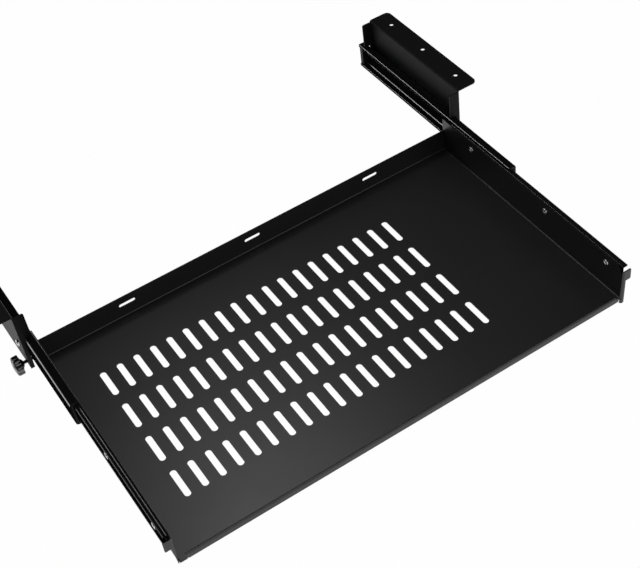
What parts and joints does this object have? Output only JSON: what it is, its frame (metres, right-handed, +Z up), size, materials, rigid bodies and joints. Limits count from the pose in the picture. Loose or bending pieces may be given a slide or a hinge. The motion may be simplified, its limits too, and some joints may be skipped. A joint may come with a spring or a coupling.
{
  "type": "under desk laptop shelf",
  "caption": "Slotted black steel laptop tray that slides out on ball bearing slides from folded brackets under a desk, with star knobs that lock it",
  "frame": {"origin": "in the plane of the desk's underside, at the middle of the screw holes of both brackets", "axes": "+Z up, -Y the way the tray pulls out towards the user, +X to the right seen from the user"},
  "size_m": [0.6168, 0.4905, 0.094],
  "materials": {
    "tray_black": "fine satin powder coat",
    "bracket_black": "fine satin powder coat",
    "slide_black": "smooth semi-gloss electrocoat",
    "bumper_plastic": "moulded grey plastic",
    "cage_steel": "rolled strip",
    "ball_steel": "polished",
    "knob_plastic": "glossy moulded plastic",
    "pad_nylon": "natural nylon",
    "zinc": "bright zinc plate"
  },
  "bodies": {
    "frame": {"bracket_left": "bracket_black", "slide_outer_left": "slide_black", "slide_front_bumper_left": "bumper_plastic", "slide_rear_bumper_left": "bumper_plastic", "rail_nuts_left": "zinc", "rail_screws_left": "zinc", "lock_nut_left": "zinc", "bracket_right": "bracket_black", "slide_outer_right": "slide_black", "slide_front_bumper_right": "bumper_plastic", "slide_rear_bumper_right": "bumper_plastic", "rail_nuts_right": "zinc", "rail_screws_right": "zinc", "lock_nut_right": "zinc"},
    "tray": {"tray": "tray_black", "slide_inner_left": "slide_black", "tray_screws_left": "zinc", "tray_nuts_left": "zinc", "slide_inner_right": "slide_black", "tray_screws_right": "zinc", "tray_nuts_right": "zinc"},
    "ball_cage_left": {"ball_cage_left": "cage_steel", "balls_left": "ball_steel"},
    "ball_cage_right": {"ball_cage_right": "cage_steel", "balls_right": "ball_steel"},
    "lock_pad_left": {"lock_pad_left": "pad_nylon"},
    "lock_pad_right": {"lock_pad_right": "pad_nylon"},
    "lock_knob_left": {"lock_knob_left": "knob_plastic", "lock_stud_left": "zinc"},
    "lock_knob_right": {"lock_knob_right": "knob_plastic", "lock_stud_right": "zinc"}
  },
  "joints": [
    {"name": "tray_slide", "type": "slide", "parent": "frame", "child": "tray", "axis": [0, -1, 0], "range_m": [-0.1878, 0.0122]},
    {"name": "ball_cage_left_slide", "type": "slide", "parent": "frame", "child": "ball_cage_left", "axis": [0, -1, 0], "range_m": [-0.0939, 0.0061]},
    {"name": "ball_cage_right_slide", "type": "slide", "parent": "frame", "child": "ball_cage_right", "axis": [0, -1, 0], "range_m": [-0.0939, 0.0061]},
    {"name": "lock_pad_left_slide", "type": "slide", "parent": "frame", "child": "lock_pad_left", "axis": [1, 0, 0], "range_m": [-0.0014, 0.0007]},
    {"name": "lock_knob_left_turn", "type": "hinge", "parent": "lock_pad_left", "child": "lock_knob_left", "pos_m": [-0.2961, -0.081, -0.076], "axis": [1, 0, 0], "range_deg": [-722, 361]},
    {"name": "lock_pad_right_slide", "type": "slide", "parent": "frame", "child": "lock_pad_right", "axis": [-1, 0, 0], "range_m": [-0.0014, 0.0007]},
    {"name": "lock_knob_right_turn", "type": "hinge", "parent": "lock_pad_right", "child": "lock_knob_right", "pos_m": [0.2961, -0.081, -0.076], "axis": [-1, 0, 0], "range_deg": [-722, 361]}
  ],
  "couplings": [
    {"joint": "ball_cage_left_slide", "follows": "tray_slide", "ratio": 0.5},
    {"joint": "ball_cage_right_slide", "follows": "tray_slide", "ratio": 0.5},
    {"joint": "lock_knob_left_turn", "follows": "lock_pad_left_slide", "rad_per_m": 8976},
    {"joint": "lock_knob_right_turn", "follows": "lock_pad_right_slide", "rad_per_m": 8976}
  ]
}
